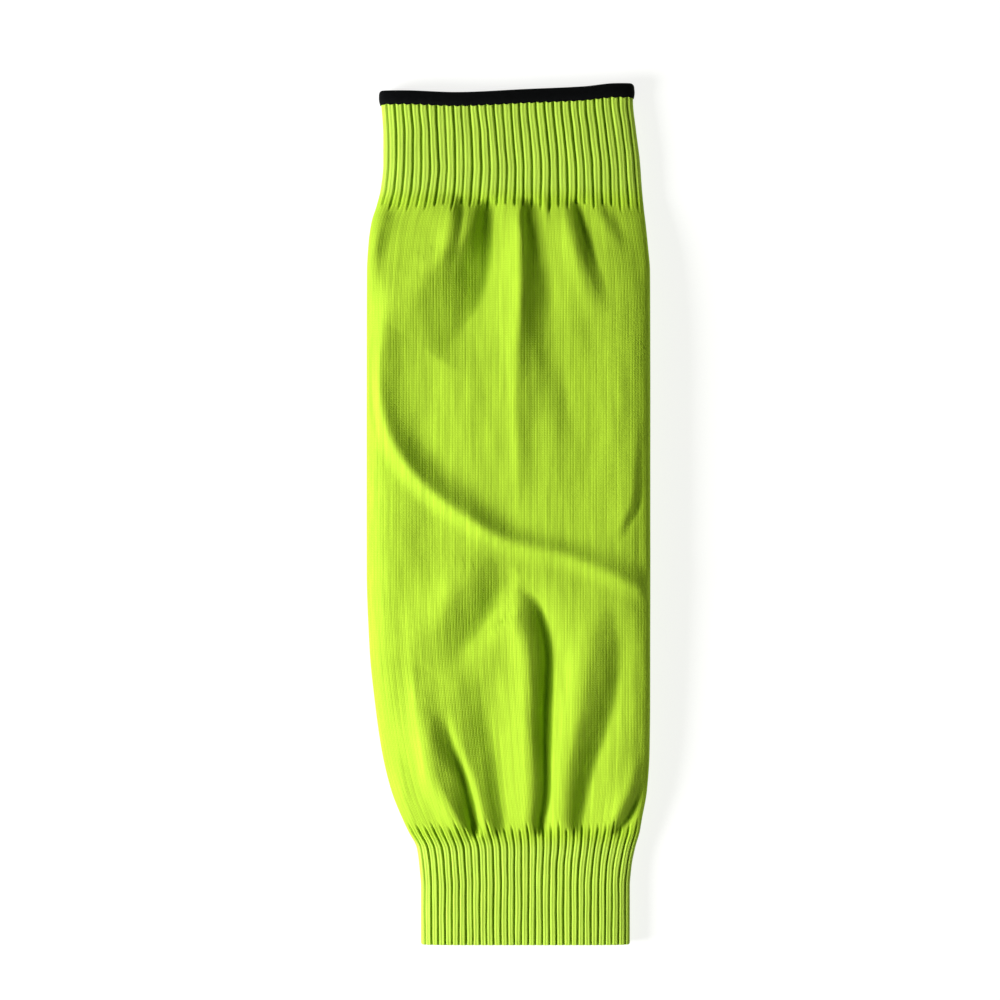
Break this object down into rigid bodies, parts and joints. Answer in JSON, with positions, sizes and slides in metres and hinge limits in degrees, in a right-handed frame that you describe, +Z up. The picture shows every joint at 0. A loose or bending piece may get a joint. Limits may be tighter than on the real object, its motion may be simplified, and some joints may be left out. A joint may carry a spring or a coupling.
{
  "type": "cut resistant sleeve",
  "caption": "Knitted cut resistant arm sleeve lying flat: a plain hollow tube gathered onto a ribbed cuff at each end, with a dark overlocked binding round the rim of one cuff.",
  "frame": {"origin": "under the middle of the sleeve's outline, on the surface that it lies on", "axes": "+Y along the sleeve to its bound end, +X across it to the right, +Z up from the surface through the upper layer"},
  "size_m": [0.15, 0.457, 0.029],
  "materials": {
    "body_knit": "matt plain knit of a bright yellow-green yarn",
    "cuff_knit": "matt two-by-one rib knit of the same bright yellow-green yarn",
    "binding_yarn": "dense near-black overlock yarn with a faint sheen"
  },
  "bodies": {
    "root": {"edge_binding": "binding_yarn", "upper_cuff": "cuff_knit", "sleeve_body": "body_knit", "lower_cuff": "cuff_knit"}
  },
  "joints": []
}
